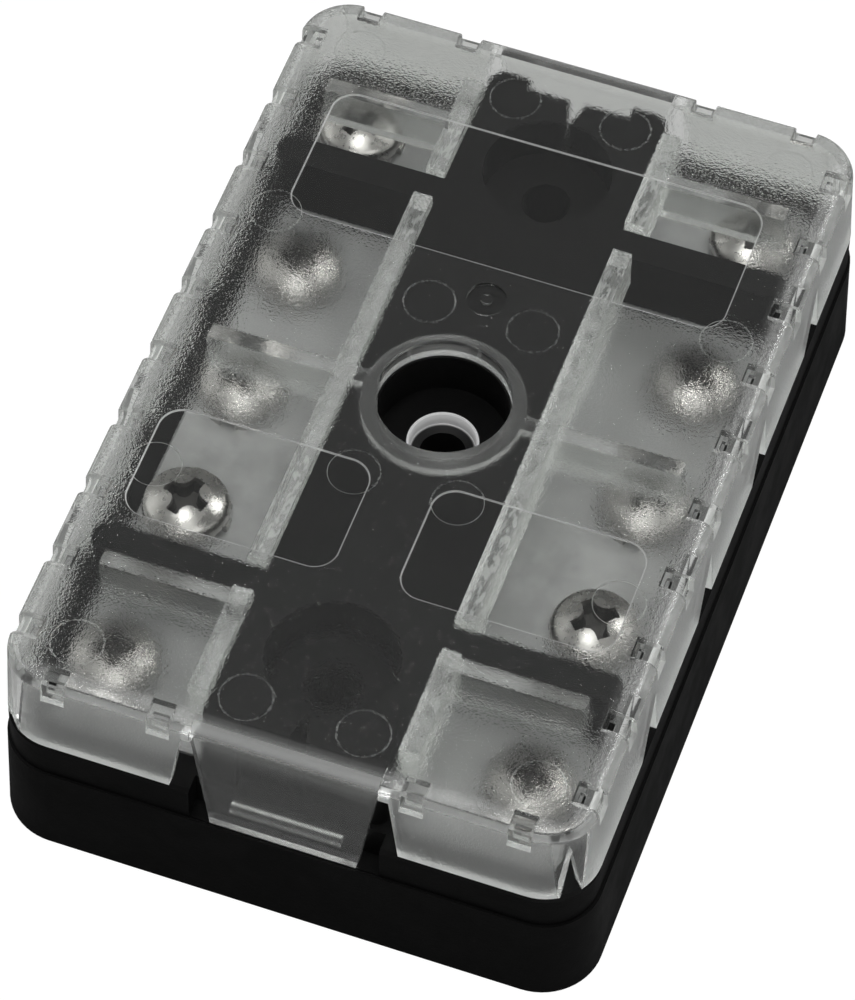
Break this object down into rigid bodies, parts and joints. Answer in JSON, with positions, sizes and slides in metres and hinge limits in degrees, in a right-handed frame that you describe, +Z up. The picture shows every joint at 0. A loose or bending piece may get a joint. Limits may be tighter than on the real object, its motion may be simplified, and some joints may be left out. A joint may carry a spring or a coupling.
{
  "type": "bus bar",
  "caption": "Twin bus bar block: rectangular black base, two plated bars with pan head terminal screws, and a clear lift-off cover with break-out skirt panels",
  "frame": {"origin": "centre of the underside of the base, on the axis of the centre bushing", "axes": "+Z up through the cover, +Y along the long side towards the blank label panel, +X to the right"},
  "size_m": [0.0642, 0.0958, 0.0284],
  "materials": {
    "base_black": "moulded black thermoplastic, fine satin grain",
    "cover_clear": "clear polycarbonate, fine texture on top, smooth panels",
    "bar_plated": "tin plated, satin",
    "screw_steel": "stainless steel, bright",
    "washer_steel": "stainless steel",
    "bushing_steel": "turned metal, satin"
  },
  "bodies": {
    "base": {"base_housing": "base_black", "bus_bar_left": "bar_plated", "bus_bar_right": "bar_plated", "center_bushing": "bushing_steel", "terminal_screw_left_1": "screw_steel", "terminal_screw_left_2": "screw_steel", "terminal_screw_left_3": "screw_steel", "terminal_screw_left_4": "screw_steel", "terminal_screw_left_5": "screw_steel", "terminal_screw_right_1": "screw_steel", "terminal_screw_right_2": "screw_steel", "terminal_screw_right_3": "screw_steel", "terminal_screw_right_4": "screw_steel", "terminal_screw_right_5": "screw_steel", "tooth_washer_left_1": "washer_steel", "tooth_washer_left_2": "washer_steel", "tooth_washer_left_3": "washer_steel", "tooth_washer_left_4": "washer_steel", "tooth_washer_left_5": "washer_steel", "tooth_washer_right_1": "washer_steel", "tooth_washer_right_2": "washer_steel", "tooth_washer_right_3": "washer_steel", "tooth_washer_right_4": "washer_steel", "tooth_washer_right_5": "washer_steel"},
    "cover": {"terminal_cover": "cover_clear"}
  },
  "joints": [
    {"name": "cover_lift", "type": "slide", "parent": "base", "child": "cover", "axis": [0, 0, 1], "range_m": [0, 0.03]}
  ]
}
